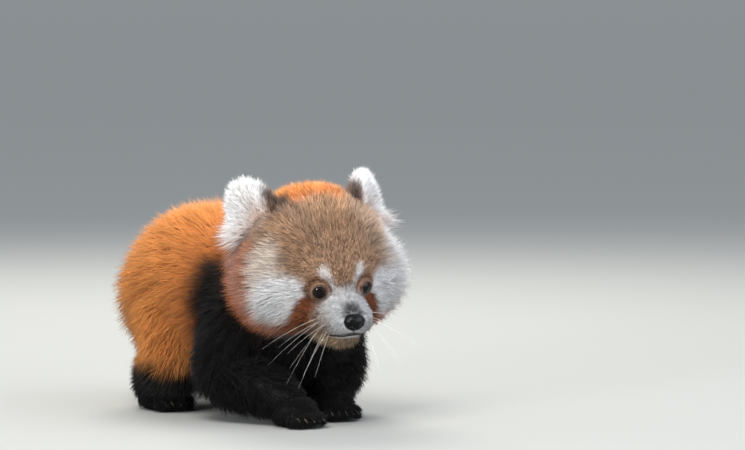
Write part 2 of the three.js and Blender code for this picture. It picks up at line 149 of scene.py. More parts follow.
def linear(colour):
    """An sRGB hex colour as linear red, green and blue"""
    parts = np.array([int(colour[i:i + 2], 16) for i in (1, 3, 5)]) / 255
    return np.where(parts <= 0.04045, parts / 12.92, ((parts + 0.055) / 1.055) ** 2.4)


def add_node(tree, kind, settings=(), values=(), links=()):
    """A node with its settings, the values of its inputs, and links from (node, output) to its inputs"""
    node = tree.nodes.new(kind)
    for name, value in dict(settings).items():
        setattr(node, name, value)
    for name, value in dict(values).items():
        node.inputs[name].default_value = value
    for name, (source, output) in dict(links).items():
        tree.links.new(source.outputs[output], node.inputs[name])
    return node


def new_material(name, values):
    """A material with only its main shader and output: returns it, its tree and its shader"""
    material = bpy.data.materials.new(name)
    material.use_nodes = True
    tree = material.node_tree
    shader = tree.nodes["Principled BSDF"]
    for key, value in values.items():
        shader.inputs[key].default_value = value
    return material, tree, shader


def rgba(colour):
    return (*linear(colour), 1)


def mesh_object(name, form, material):
    mesh = bpy.data.meshes.new(name)
    form.to_mesh(mesh)
    form.free()
    mesh.materials.append(material)
    made = bpy.data.objects.new(name, mesh)
    bpy.context.scene.collection.objects.link(made)
    return made


# Dead-matt paint, rolled on: no shine, and hardly visible patches of a darker tone
painted, tree, shader = new_material("matt_painted_sweep", {"Roughness": 0.9, "Specular IOR Level": 0.0})
paint_grain = add_node(tree, "ShaderNodeTexNoise", values={"Scale": 1 / (PAINT_MOTTLE * MM), "Detail": 3.0})
paint_colour = add_node(tree, "ShaderNodeMix", {"data_type": "RGBA"}, links={0: (paint_grain, 0)})
paint_colour.inputs[6].default_value = rgba(FLOOR_COLOUR)
paint_colour.inputs[7].default_value = rgba(FLOOR_SHADE)
tree.links.new(paint_colour.outputs[2], shader.inputs["Base Color"])
form = bmesh.new()
bmesh.ops.create_grid(form, x_segments=1, y_segments=1, size=FLOOR_HALF)
mesh_object("floor", form, painted)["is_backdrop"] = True

world = bpy.data.worlds.new("sky")
world.use_nodes = True
tree = world.node_tree
sky = tree.nodes["Background"]
sky.inputs["Strength"].default_value = SKY_STRENGTH
way = add_node(tree, "ShaderNodeTexCoord")
height = add_node(tree, "ShaderNodeSeparateXYZ", links={0: (way, "Generated")})
rise = add_node(tree, "ShaderNodeMapRange", {"interpolation_type": "SMOOTHSTEP"},
                {"From Min": 0.0, "From Max": SKY_RISE}, {"Value": (height, "Z")})
tone = add_node(tree, "ShaderNodeMix", {"data_type": "RGBA"}, links={0: (rise, "Result")})
floor_tone = (linear(FLOOR_COLOUR) + linear(FLOOR_SHADE)) / 2
foot = (1 - FOOT_SHARE) * floor_tone * linear(SKY_COLOUR) / (1 - FOOT_SHARE * floor_tone)
tone.inputs[6].default_value = (*foot, 1)
tone.inputs[7].default_value = rgba(SKY_COLOUR)
tree.links.new(tone.outputs[2], sky.inputs["Color"])
bpy.context.scene.world = world
middle_of_cub = Vector(placed(at(0, 0, LAMPS_AIM_HEIGHT)))
for name, (azimuth, elevation, size, watts, colour) in LAMPS.items():
    data = bpy.data.lights.new(name, "AREA")
    data.size = size
    data.energy = watts
    data.color = linear(colour)
    lamp = bpy.data.objects.new(name, data)
    a, e = math.radians(azimuth), math.radians(elevation)
    away = Vector((math.sin(a) * math.cos(e), -math.cos(a) * math.cos(e), math.sin(e)))
    lamp.location = middle_of_cub + away * LAMP_DISTANCE
    lamp.rotation_euler = (-away).to_track_quat("-Z", "Y").to_euler()
    bpy.context.scene.collection.objects.link(lamp)


# Forms of the body
# Flesh and bone under the coat. Two kinds of form make up the animal: a mound, which is ellipsoids
# blended and seen from one middle, and a limb, which is a round section along a curve. Each knows its
# skin and how deep the coat is there.
CROWN_COAT, CHEEK_COAT, FACE_COAT = 12, 19, 4
BODY_COAT, PAW_COAT, EAR_COAT = 18.0, 7.0, 9.0
LEG_FULLER = 1.2


def smoothstep(low, high, x):
    t = np.clip((x - low) / (high - low), 0, 1)
    return t * t * (3 - 2 * t)


def unit(v):
    return v / np.maximum(np.linalg.norm(v, axis=-1, keepdims=True), 1e-9)


class Mound:
    OUTSIDE = 160.0  # a distance that is past the skin in every direction
    HALVINGS = 24

    def __init__(self, lumps, blend, coat, centre=(0, 0, 0), axes=np.eye(3), middle=(0, 0, 0)):
        self.lumps = [(at(*place), np.array(half, float)) for place, half in lumps]
        self.blend, self.coat = blend, coat
        self.axes, self.middle = np.array(axes), at(*middle)
        self.centre = at(*centre)

    def local(self, points):
        return (points - self.middle) @ self.axes

    def distance(self, points):
        q = self.local(points)
        least = None
        for place, half in self.lumps:
            k0 = np.linalg.norm((q - place) / half, axis=-1)
            k1 = np.linalg.norm((q - place) / half ** 2, axis=-1)
            d = k0 * (k0 - 1) / np.maximum(k1, 1e-9)
            if least is None:
                least = d
                continue
            meeting = np.maximum(self.blend - np.abs(least - d), 0) / self.blend
            least = np.minimum(least, d) - meeting ** 2 * self.blend / 4
        return least

    def skin(self, directions):
        """Where the skin is in each direction from the centre"""
        near = np.zeros(len(directions))
        far = np.full(len(directions), self.OUTSIDE)
        for _ in range(self.HALVINGS):
            middle = (near + far) / 2
            points = (directions * middle[:, None] + self.centre) @ self.axes.T + self.middle
            out = self.distance(points) > 0
            far = np.where(out, middle, far)
            near = np.where(out, near, middle)
        return (directions * near[:, None] + self.centre) @ self.axes.T + self.middle

    def depth(self, points):
        return self.coat(unit(self.local(points) - self.centre))


class Limb:
    STEPS = 60

    def __init__(self, stations):
        """Each station is a place, the radius to the skin and the depth of the coat"""
        knots = np.array([[*place, radius, coat] for place, radius, coat in stations], float)
        self.line = catmull_rom(knots, self.STEPS)

    def nearest(self, points):
        gaps = np.linalg.norm(points[:, None, :] - self.line[None, :, :3], axis=2)
        return np.argmin(gaps - self.line[None, :, 3], axis=1)

    def distance(self, points):
        row = self.line[self.nearest(points)]
        return np.linalg.norm(points - row[:, :3], axis=1) - row[:, 3]

    def depth(self, points):
        return self.line[self.nearest(points), 4]

    def lie(self, points):
        i = np.clip(self.nearest(points), 1, self.STEPS - 1)
        return unit(self.line[i + 1, :3] - self.line[i - 1, :3])

    def along(self, points):
        return self.nearest(points) / self.STEPS

    def add_to(self, form):
        """A ball at each step, which the skin's remesh makes one"""
        for place in self.line[::2]:
            ball = bmesh.ops.create_icosphere(form, subdivisions=3, radius=place[3])
            bmesh.ops.translate(form, verts=ball["verts"], vec=Vector(place[:3]))


def catmull_rom(knots, steps):
    """Points on a smooth curve through the knots, evenly by knot"""
    ends = np.vstack([2 * knots[0] - knots[1], knots, 2 * knots[-1] - knots[-2]])
    made = []
    for t in np.linspace(0, len(knots) - 1, steps + 1):
        i = min(int(t), len(knots) - 2)
        u = t - i
        p0, p1, p2, p3 = ends[i:i + 4]
        made.append(0.5 * (2 * p1 + (p2 - p0) * u + (2 * p0 - 5 * p1 + 4 * p2 - p3) * u ** 2
                           + (3 * p1 - p0 - 3 * p2 + p3) * u ** 3))
    return np.array(made)


def lerp(a, b, t):
    return a + (b - a) * t


def head_coat(d):
    """Short on the muzzle and round the eyes, and longest on the cheeks and behind them"""
    face = smoothstep(0.55, 0.88, -d[:, 1])
    cheek = smoothstep(0.1, 0.9, np.abs(d[:, 0]) - d[:, 2])
    return lerp(lerp(CROWN_COAT, CHEEK_COAT, cheek), FACE_COAT, face)


head = Mound(
    [
        ((0, -4, 6), (41, 44, 38)),  # skull
        ((-20, 4, -8), (28, 29, 24)),  # cheeks
        ((20, 4, -8), (28, 29, 24)),
        ((0, 24, 1), (26, 22, 23)),  # face between and round the eyes
        ((0, 46, -16), (14, 21, 12)),  # muzzle
        ((0, 42, -25), (13, 18, 8)),  # lower jaw
        ((-7, 51, -18), (10, 14, 9)),  # whisker pads
        ((7, 51, -18), (10, 14, 9)),
        ((-17, 22, -20), (15, 17, 12)),  # jowls
        ((17, 22, -20), (15, 17, 12)),
    ],
    blend=9, coat=head_coat, axes=HEAD_AXES, middle=HEAD_CENTRE,
)
body = Mound(
    [
        ((-2, -65, 81), (46, 48, 48)),  # rump
        ((0, -15, 76), (43, 44, 43)),  # belly and back
        ((0, 14, 68), (38, 34, 34)),  # shoulders and chest
        ((-4, 30, 88), (28, 28, 26)),  # neck
    ],
    blend=16, coat=lambda d: np.full(len(d), BODY_COAT), centre=(0, -22, 76),
)
SIDES = {"right": -1, "left": 1}
LEGS = {  # the left forefoot stands back and inward, and the elbows are low and turned out
    "foreleg_right": [
        (at(-29, 14, 66), 21, 12), (at(-42, 10, 35), 17, 12), (at(-37, 38, 25), 13, 10),
        (at(-32, 55, 17), 11, 7),
    ],
    "foreleg_left": [
        (at(29, 14, 66), 21, 12), (at(34, 24, 38), 17, 12), (at(24, 36, 25), 13, 10), (at(17, 41, 17), 11, 7),
    ],
    "hindleg_right": [
        (at(-28, -58, 66), 25, 14), (at(-38, -52, 41), 20, 12), (at(-40, -68, 26), 15, 10),
        (at(-38, -80, 17), 12, 8),
    ],
    "hindleg_left": [
        (at(28, -58, 66), 25, 14), (at(38, -52, 41), 20, 12), (at(40, -70, 26), 15, 10),
        (at(38, -84, 17), 12, 8),
    ],
}
PAWS = {  # middle, turn in degrees, length and width
    "forepaw_right": ((-31, 66, 9.2), -4, 15, 12.5),
    "forepaw_left": ((14, 50, 9.2), -12, 15, 12.5),
    "hindpaw_right": ((-38, -73, 9.2), -8, 19, 12.5),
    "hindpaw_left": ((38, -77, 9.2), 8, 19, 12.5),
}
PAW_HALF_HEIGHT = 9.5
TOES, TOE_SPREAD = 5, 62  # the spread in degrees
TOE_HALF, TOE_DROP = (4.1, 6.2, 4.6), -3.4
CLAW_AHEAD = 4.2  # how far its claw's root is ahead of a toe's middle
limbs = {name: Limb(stations) for name, stations in LEGS.items()}
paws, claws = {}, []
for name, (middle, turn, length, width) in PAWS.items():
    lumps = [((0, 0, 0), (width, length, PAW_HALF_HEIGHT))]
    for i in range(TOES):
        angle = math.radians((i / (TOES - 1) - 0.5) * TOE_SPREAD)
        reach = length * (0.98 - 0.32 * abs(math.sin(angle)))
        left = -math.sin(angle) * width * 1.35
        lumps.append(((left, reach, TOE_DROP), TOE_HALF))
        claws.append((name, left, reach + CLAW_AHEAD, angle))
    axes = Matrix.Rotation(math.radians(turn), 3, "Z")
    paws[name] = Mound(lumps, blend=2.5, coat=lambda d: np.full(len(d), PAW_COAT), axes=axes, middle=middle)
tail = Limb([
    (at(0, -98, 64), 11, 14), (at(5, -122, 42), 10, 16), (at(24, -139, 29), 9, 18),
    (at(56, -143, 27), 9, 18), (at(88, -130, 26), 8, 18), (at(106, -104, 24), 7, 17),
    (at(112, -78, 20), 5, 15),
])

EAR = (35, -13, 25)  # the middle of the ear's root, on the head
EAR_HALF = (15, 3.0, 19)
EAR_LEAN, EAR_SPLAY, EAR_FACING = 40, 22, 38  # degrees back, outward, and turned out
EAR_NARROWING, EAR_RISE = 0.28, 0.62  # shares of its half height
EAR_CUP = 0.022  # how much its edges come forward, for each square millimetre out
EAR_SET_BACK = 1.5  # how far its middle is behind its root


def ear_axes(s):
    turned = (
        Matrix.Rotation(math.radians(-EAR_LEAN), 3, "X")
        @ Matrix.Rotation(math.radians(s * EAR_SPLAY), 3, "Y")
        @ Matrix.Rotation(math.radians(s * EAR_FACING), 3, "Z")
    )
    return HEAD_AXES @ np.array(turned)


def ear_local(points, s):
    return (points - on_head(s * EAR[0], EAR[1], EAR[2])) @ ear_axes(s)


# Markings
# A cub's face is buff and grizzled above, with white cheeks, brows, muzzle and ears, and a rust mark
# from each eye to the corner of the mouth. The back is rust, and the legs, throat and belly are sable.
# Of each pair the deep colour is at the hair's root and the other at its tip.
BUFF_DEEP, BUFF = "#50342a", "#c9a381"
PALE_BUFF_DEEP, PALE_BUFF = "#7a5a46", "#e3cdb6"
RUST_DEEP, RUST = "#b3652c", "#eba35c"
SHOULDER_RUST_DEEP, SHOULDER_RUST = "#7c3c17", "#c66f2e"
RUFF_DEEP, RUFF = "#5c270a", "#bd641f"
TEAR_DEEP, TEAR = "#4a230e", "#9a5528"
CROWN = "#d98a47"
SABLE, SABLE_TIP = "#020202", "#181616"
EAR_SPOT, EAR_BACK, EAR_EDGE_DEEP = "#2c1a11", "#3a2218", "#140c08"
EAR_WHITE_DEEP, WHITE_DEEP, WHITE = "#dedbd8", "#cfccca", "#fcfdff"
# the grey of the painted shade in the cup of each ear's front, at root and tip
EAR_FRONT_SHADE_DEEP, EAR_FRONT_SHADE = "#8c8078", "#c9bfb6"
TEMPLE_DEEP, TEMPLE = "#b3a08f", "#f3ebe2"
EYE_RING_DEEP, EYE_RING = "#3b2013", "#8a5f42"
MUZZLE_DEEP, MUZZLE = "#9d9b9a", "#dfe1e4"
BRIDGE_DEEP, BRIDGE = "#2e2d30", "#5d5c61"
CREAM_DEEP, CREAM = "#8d6f4f", "#cdb394"
TAIL_RING_DEEP, TAIL_RING = "#957046", "#e6c592"
LIP = "#140e0c"


def patch(points, centre, half, soft=0.3):
    """1 inside an ellipsoid, 0 outside, with a soft edge"""
    r = np.linalg.norm((points - at(*centre)) / np.array(half, float), axis=1)
    return 1 - smoothstep(1 - soft, 1 + soft, r)


def stripe(points, start, end, width, soft=1.5):
    """1 within width of a line, 0 outside, with a soft edge"""
    a, b = at(*start), at(*end)
    t = np.clip((points - a) @ (b - a) / ((b - a) @ (b - a)), 0, 1)
    gap = np.linalg.norm(points - a - t[:, None] * (b - a), axis=1)
    return 1 - smoothstep(width - soft, width + soft, gap)


def wobble(points, size):
    """A smooth uneven field between about -1 and 1, for soft edges"""
    p = points / size
    return (
        np.sin(p[:, 0] * 1.3 + 2.1 * np.sin(p[:, 1] * 0.9 + 1))
        + np.sin(p[:, 1] * 1.7 + 1.6 * np.sin(p[:, 2] * 1.1 + 2))
        + np.sin(p[:, 2] * 1.5 + 1.9 * np.sin(p[:, 0] * 1.2 + 3))
    ) / 3


def paint(layers, count):
    """Root and tip colours, each layer laid over those before it by its mask"""
    root = np.zeros((count, 3))
    tip = np.zeros((count, 3))
    for mask, root_colour, tip_colour in layers:
        mask = np.broadcast_to(mask, count)[:, None]
        root = lerp(root, linear(root_colour), mask)
        tip = lerp(tip, linear(tip_colour), mask)
    return root, tip


def head_markings(points):
    q = head.local(points)
    d = unit(q)
    mirrored = np.column_stack([np.abs(q[:, 0]), q[:, 1], q[:, 2]])
    edge = wobble(points, 5) * 0.05
    crown = smoothstep(0.66, 0.86, d[:, 2] * 0.86 + d[:, 1] * 0.5 + edge)
    behind = smoothstep(0.05, 0.4, d[:, 1] + edge)
    throat = smoothstep(-0.74, -0.9, d[:, 2] + d[:, 1] * 0.3 + edge)
    height = d[:, 2] - 0.3 * smoothstep(-0.5, -0.1, d[:, 1]) + edge
    ruff = smoothstep(0.22, -0.08, height) * smoothstep(-0.84, -0.66, d[:, 1])
    ear_spot = patch(mirrored, (24, -8, 39), (7.5, 9, 9))
    temple = patch(mirrored, (38, 22, 12), (9, 12, 25), 0.4) * 0.8
    # on the left side only, the brow is paler and the side of the head whiter than on the right
    left_brow_paler = patch(q, (27, 20, 28), (11, 15, 15), 0.6) * 0.5
    left_side_whiter = patch(q, (41, 12, 10), (9, 14, 28), 0.4) * 0.9
    cheek = patch(mirrored, (30, 31, -9), (13.5, 16, 14.5), 0.3)
    brow_spot = stripe(mirrored, (8, 46, 1), (12, 42, 11), 3.2, 2.2) * 0.75
    tear_above = stripe(mirrored, (15, 44, -5), (21, 39, -12), 4.6)
    tear_below = stripe(mirrored, (21, 39, -12), (22, 37, -25), 5.4)
    eye_ring = patch(mirrored, EYE, (9, 11, 8), 0.3)
    muzzle = patch(mirrored, (0, 53, -14), (16.5, 25, 15), 0.25)
    bridge = patch(mirrored, (0, 66, -8), (5.2, 9, 5.2), 0.45)
    chin = patch(mirrored, (0, 50, -33), (16, 18, 6.5), 0.3)
    lip = 1 - smoothstep(1.2, 2.6, from_mouth(points))
    cleft = stripe(mirrored, (0, 70, -18), (0, 63, -24), 0.9, 0.8) * 0.8
    layers = [
        (1, BUFF_DEEP, BUFF), (crown, RUST_DEEP, CROWN), (ear_spot, SABLE, EAR_SPOT),
        (behind, RUST_DEEP, RUST), (ruff, RUFF_DEEP, RUFF), (throat, SABLE, SABLE_TIP),
        (temple, TEMPLE_DEEP, TEMPLE), (left_brow_paler, PALE_BUFF_DEEP, PALE_BUFF),
        (left_side_whiter, WHITE_DEEP, WHITE), (cheek, WHITE_DEEP, WHITE), (brow_spot, WHITE_DEEP, WHITE),
        (tear_above, TEAR_DEEP, TEAR), (tear_below, TEAR_DEEP, TEAR), (eye_ring, EYE_RING_DEEP, EYE_RING),
        (muzzle, MUZZLE_DEEP, MUZZLE), (bridge, BRIDGE_DEEP, BRIDGE), (chin, CREAM_DEEP, CREAM),
        (lip, LIP, LIP), (cleft, LIP, LIP),
    ]
    return paint(layers, len(points))


def body_markings(points):
    """The boundary runs from the withers down behind the shoulder, and on along the belly to the rump"""
    forward, up = -points[:, 1], points[:, 2]
    edge = wobble(points, 12) * 4
    front = smoothstep(-23, -6, forward + (up - 100) * 0.2 + edge)
    front = front * smoothstep(108, 95, up + edge)
    belly = smoothstep(50, 36, up + edge)
    hind = smoothstep(-84, -104, forward + edge) * smoothstep(60, 44, up)
    dark = 1 - (1 - front) * (1 - belly) * (1 - hind)
    shoulder = smoothstep(-60, 0, forward + edge) * 0.7
    layers = [
        (1, RUST_DEEP, RUST), (shoulder, SHOULDER_RUST_DEEP, SHOULDER_RUST), (dark, SABLE, SABLE_TIP),
    ]
    return paint(layers, len(points))


RINGS = 6.5  # rings of the tail, each with the rust before it


def tail_markings(points):
    """Six buff rings on rust, and a dark tip"""
    t = tail.along(points)
    ring = smoothstep(0.15, 0.45, np.sin(t * 2 * math.pi * RINGS + wobble(points, 9) * 0.5))
    dark_tip = smoothstep(0.88, 0.96, t)
    layers = [
        (1, RUST_DEEP, RUST), (ring, TAIL_RING_DEEP, TAIL_RING), (dark_tip, SABLE, SABLE_TIP),
    ]
    return paint(layers, len(points))


def ear_markings(points, s):
    """White in front and at the edge, with faint painted shade in the cup of its front, and dark behind and
    along the inner edge
    """
    q = ear_local(points, s)
    behind = smoothstep(0.5, 3.5, q[:, 1] + EAR_CUP * q[:, 0] ** 2)
    dark = behind * smoothstep(13.5, 8, np.abs(q[:, 0])) * smoothstep(26, 14, q[:, 2])
    inner = smoothstep(8, 12.5, -s * q[:, 0]) * smoothstep(22, 12, q[:, 2])
    # painted shade: a faint grey down the middle of the ear's cupped front
    cup_shade = smoothstep(1.5, -0.5, q[:, 1]) * patch(q, (1.5, 2, 6), (4, 9, 10), 0.6) * 0.5
    layers = [
        (1, EAR_WHITE_DEEP, WHITE), (dark, SABLE, EAR_BACK), (cup_shade, EAR_FRONT_SHADE_DEEP, EAR_FRONT_SHADE),
        (inner * 0.9, EAR_EDGE_DEEP, EAR_BACK),
    ]
    return paint(layers, len(points))


# the mouth runs from corner to corner, round under the tip of the muzzle
MOUTH_STEPS = 40
MOUTH_INSIDE = (0, 46, -18)  # on the head, well inside the muzzle
MOUTH = [(-14, 50, -26.5), (-8, 60.5, -24), (0, 65, -23.5), (8, 60.5, -24), (14, 50, -26.5)]
mouth = catmull_rom(head.skin(unit(np.array([at(*p) for p in MOUTH]))), MOUTH_STEPS)
tree_of_mouth = KDTree(len(mouth))
for i, p in enumerate(mouth):
    tree_of_mouth.insert(p, i)
tree_of_mouth.balance()


def from_mouth(points):
    """How far points are from the line of the mouth"""
    return np.array([tree_of_mouth.find(p)[2] for p in points])


# Skin
# One closed skin under the coat, from the muzzle to the tip of the tail, with lids round the eyes, the
# line of the mouth and the pads of the toes. It is modelled to the bare body, inside the coat's depth.
VOXEL = 1.5
REMESH_SMOOTH = 3
EYE_RADIUS = 6.8
EYE_OUTWARD = 24  # degrees from straight ahead
LID = 0.8  # how thick the lids are over the eyes
LID_OPEN = 42  # degrees from the eye's middle to the edge of its lids
LID_FULL, LID_END = 62, 80  # degrees where the lids start to run out into the face, and where they end
LID_THICKENING = 0.12  # millimetres for each degree from the edge
SOCKET_DEEPER = 2.5  # how far the socket is behind the front of the eyeball
GROOVE_DEPTH, GROOVE_HALF = 1.3, 2.2  # of the line of the mouth
SOLE = 0.3  # how far the soles are over the floor
PORES = 1.1  # millimetres between them, coarser than real ones so that they show
BARE_SKIN = "#2a1c16"


# Hide, matt and faintly pored. Where hair covers it, it has the colour of that hair.
hide, tree, shader = new_material("hide_under_fur", {"Roughness": 0.7})
tint = add_node(tree, "ShaderNodeVertexColor", {"layer_name": "tint"})
place = add_node(tree, "ShaderNodeTexCoord")
pores = add_node(tree, "ShaderNodeTexNoise", values={"Scale": 1 / (PORES * MM), "Detail": 2.0},
                 links={"Vector": (place, "Object")})
bump = add_node(tree, "ShaderNodeBump", values={"Strength": 0.4, "Distance": 0.0003},
                links={"Height": (pores, 0)})
tree.links.new(tint.outputs["Color"], shader.inputs["Base Color"])
tree.links.new(bump.outputs["Normal"], shader.inputs["Normal"])


def mound_ball(mound, form):
    ball = bmesh.ops.create_icosphere(form, subdivisions=5, radius=1)["verts"]
    directions = np.array([v.co for v in ball])
    for vert, place in zip(ball, mound.skin(unit(directions))):
        vert.co = place


form = bmesh.new()
mound_ball(head, form)
mound_ball(body, form)
for paw in paws.values():
    mound_ball(paw, form)
for limb in [*limbs.values(), tail]:
    limb.add_to(form)
for s in SIDES.values():
    leaf = bmesh.ops.create_uvsphere(form, u_segments=32, v_segments=20, radius=1)["verts"]
    for vert in leaf:
        x, y, z = vert.co
        narrow = 1 - EAR_NARROWING * z
        place = np.array([x * EAR_HALF[0] * narrow, y * EAR_HALF[1], (z + EAR_RISE) * EAR_HALF[2]])
        place[1] -= EAR_CUP * place[0] ** 2 - EAR_SET_BACK
        vert.co = ear_axes(s) @ place + on_head(s * EAR[0], EAR[1], EAR[2])
skin = mesh_object("skin", form, hide)
remesh = skin.modifiers.new("one_skin", "REMESH")
remesh.mode = "VOXEL"
remesh.voxel_size = VOXEL
smooth = skin.modifiers.new("smooth", "SMOOTH")
smooth.factor = 0.5
smooth.iterations = REMESH_SMOOTH


def apply_modifiers(thing):
    graph = bpy.context.evaluated_depsgraph_get()
    mesh = bpy.data.meshes.new_from_object(thing.evaluated_get(graph))
    thing.modifiers.clear()
    old = thing.data
    thing.data = mesh
    bpy.data.meshes.remove(old)


apply_modifiers(skin)


def eye_axis(s):
    turned = Matrix.Rotation(math.radians(s * EYE_OUTWARD), 3, "Z")
    return HEAD_AXES @ np.array(turned) @ at(0, 1, 0)


def eye_middle(s):
    return on_head(s * EYE[0], EYE[1], EYE[2])


form = bmesh.new()
form.from_mesh(skin.data)
# the mesh is finer round the eyes and the mouth, within so many millimetres
FINE_PLACES = [(eye_middle(1), 13), (eye_middle(-1), 13), (on_head(0, 60, -20), 16)]
edges = set()
for middle, reach in FINE_PLACES:
    middle = Vector(middle)
    for edge in form.edges:
        if max((vert.co - middle).length for vert in edge.verts) < reach:
            edges.add(edge)
bmesh.ops.subdivide_edges(form, edges=list(edges), cuts=1, use_grid_fill=True)
verts = np.array([v.co for v in form.verts])
for s in SIDES.values():
    middle, axis = eye_middle(s), eye_axis(s)
    away = verts - middle
    length = np.linalg.norm(away, axis=1)
    angle = np.degrees(np.arccos(np.clip(away @ axis / np.maximum(length, 1e-6), -1, 1)))
    # over the eye the skin is drawn up to the lids, and inside their opening it goes in behind the eye
    near = (length < EYE_RADIUS + 7) & (angle < LID_END)
    lid = EYE_RADIUS + LID
    out = np.where(angle < LID_OPEN, EYE_RADIUS - SOCKET_DEEPER, np.maximum(length, lid))
    drawn = smoothstep(LID_END, LID_FULL, angle)
    lidded = np.minimum(out, lid + (angle - LID_OPEN) * LID_THICKENING)
    target = np.where(angle < LID_OPEN, out, lerp(length, lidded, drawn))
    verts[near] = middle + away[near] / length[near, None] * target[near, None]

# the line of the mouth is drawn in as a shallow groove
reach = from_mouth(verts)
inward = unit(on_head(*MOUTH_INSIDE) - verts)
verts += inward * GROOVE_DEPTH * np.maximum(1 - reach / GROOVE_HALF, 0)[:, None]
for vert, place in zip(form.verts, verts):
    vert.co = place
# the soles are flat
for vert in form.verts:
    vert.co.z = max(vert.co.z, SOLE)
bmesh.ops.triangulate(form, faces=form.faces)
form.normal_update()
form.to_mesh(skin.data)
form.free()
skin.data.shade_smooth()

points = np.empty(len(skin.data.vertices) * 3)
skin.data.vertices.foreach_get("co", points)
points = points.reshape(-1, 3)
normals = np.empty(len(points) * 3)
skin.data.vertices.foreach_get("normal", normals)
normals = normals.reshape(-1, 3)


# The lie of the coat
# Each form of the body gives the way its hair runs, how long and how upright it is, and its colours,
# and where two forms meet these run into one another.
BLEND_MM = 4.0
weights, values = [], []


def add_region(distance, depth, lie, colours, stand, curl):
    """Stand is 0 for hair that lies flat and 1 for upright, curl how far tufts lean to their neighbours"""
    weights.append(np.exp(-np.maximum(distance, -2) / BLEND_MM))
    depth, stand, curl = (np.broadcast_to(value, len(points)) for value in (depth, stand, curl))
    values.append(np.column_stack([depth, lie, stand, *colours, curl]))


# on the face it parts at the nose, and on the cheeks it runs outward and down
face = smoothstep(0.35, 0.75, -unit(head.local(points))[:, 1])
head_lie = unit(points - on_head(0, 66, -8))
cheek_out = np.sign(head.local(points)[:, :1]) * HEAD_AXES[:, 0]
low_side = smoothstep(0.3, 0.8, np.abs(unit(head.local(points))[:, 0]))[:, None]
head_lie = unit(head_lie + cheek_out * 0.5 * low_side + at(0, 0, -0.25) * low_side)
add_region(head.distance(points), head.depth(points), head_lie, head_markings(points),
           stand=lerp(0.62, 0.28, face), curl=lerp(0.22, 0.08, face))

# on the body it runs back and down, and is fuller on the flanks than on the back
back_lie = unit(at(0, -0.86, -0.5) + np.sign(points[:, :1]) * np.array([0.15, 0, 0]))
fuller = lerp(1.28, 1.08, smoothstep(85, 115, points[:, 2]))
add_region(body.distance(points), body.depth(points) * fuller, back_lie, body_markings(points),
           stand=0.66, curl=0.16)

# the hind legs are rust above the hock
sable = paint([(1, SABLE, SABLE_TIP)], len(points))
high = smoothstep(30, 44, points[:, 2] + wobble(points, 9) * 4)
rust_above = paint([(1, SABLE, SABLE_TIP), (high, RUST_DEEP, RUST)], len(points))
for name, limb in limbs.items():
    colours = rust_above if name.startswith("hind") else sable
    add_region(limb.distance(points), limb.depth(points) * LEG_FULLER, limb.lie(points), colours,
               stand=0.5, curl=0.22)
paw_lie = unit(at(0, 1, -0.3) + 0 * points)
for paw in paws.values():
    add_region(paw.distance(points), paw.depth(points), paw_lie, sable, stand=0.25, curl=0.15)
add_region(tail.distance(points), tail.depth(points), tail.lie(points), tail_markings(points),
           stand=0.55, curl=0.4)
for s in SIDES.values():
    q = ear_local(points, s)
    narrow = 1 - EAR_NARROWING * np.clip(q[:, 2] / EAR_HALF[2] - EAR_RISE, -1, 1)
    thick = q[:, 1] + EAR_CUP * q[:, 0] ** 2 - EAR_SET_BACK
    flat = np.column_stack([q[:, 0] / narrow, thick, q[:, 2] - EAR_HALF[2] * EAR_RISE])
    distance = (np.linalg.norm(flat / np.array(EAR_HALF), axis=1) - 1) * EAR_HALF[1]
    along, across = ear_axes(s) @ at(0, 0, 1), ear_axes(s) @ at(1, 0, 0)
    lie = unit(along + across * (q[:, :1] / 14))
    add_region(distance, EAR_COAT, lie, ear_markings(points, s), stand=0.35, curl=0.2)

weights = np.array(weights)
weights /= weights.sum(axis=0)
traits = np.einsum("fp,fpk->pk", weights, np.array(values))
DEPTH, LIE, STAND, ROOT, TIP, CURL, GRIZZLE = 0, slice(1, 4), 4, slice(5, 8), slice(8, 11), 11, 12
# the head's coloured hair is the most grizzled, and white hair and the body's coat are more even
white = smoothstep(0.35, 0.8, traits[:, TIP].min(axis=1))
traits = np.column_stack([traits, 0.5 + 0.5 * weights[0] * (1 - white)])

# no hair grows on the eyes, the nose, the edge of the lids or under the feet
bare = np.zeros(len(points))
for s in SIDES.values():
    away = points - eye_middle(s)
    angle = np.degrees(np.arccos(np.clip(unit(away) @ eye_axis(s), -1, 1)))
    close = np.linalg.norm(away, axis=1) < EYE_RADIUS + 6
    bare = np.maximum(bare, close * smoothstep(47, 43, angle))
    traits[:, DEPTH] *= 1 - 0.45 * close * smoothstep(85, 50, angle)
NOSE = (0, 68, -14.5)  # the middle of its pad, on the head
UNDER_NOSE = ((0, 68.5, -14.5), (7.3, 6, 5.9))
bare = np.maximum(bare, patch(head.local(points), *UNDER_NOSE, 0.08))
bare = np.maximum(bare, (points[:, 2] < 2.5) & (normals[:, 2] < -0.3))


def store_tint(mesh, tints):
    """The colour of each vertex, which the material reads"""
    layer = mesh.color_attributes.new("tint", "FLOAT_COLOR", "POINT")
    layer.data.foreach_set("color", np.column_stack([tints, np.ones(len(tints))]).ravel())


hair_tone = lerp(traits[:, ROOT], traits[:, TIP], 0.45)
store_tint(skin.data, lerp(hair_tone, linear(BARE_SKIN), bare[:, None]))

# the skin's unwrap, which the coat's own map follows
bpy.context.view_layer.objects.active = skin
skin.select_set(True)
bpy.ops.object.mode_set(mode="EDIT")
bpy.ops.mesh.select_all(action="SELECT")
bpy.ops.uv.smart_project(angle_limit=math.radians(80), island_margin=0.004)
bpy.ops.object.mode_set(mode="OBJECT")
skin.data.uv_layers[0].name = "OFBake"

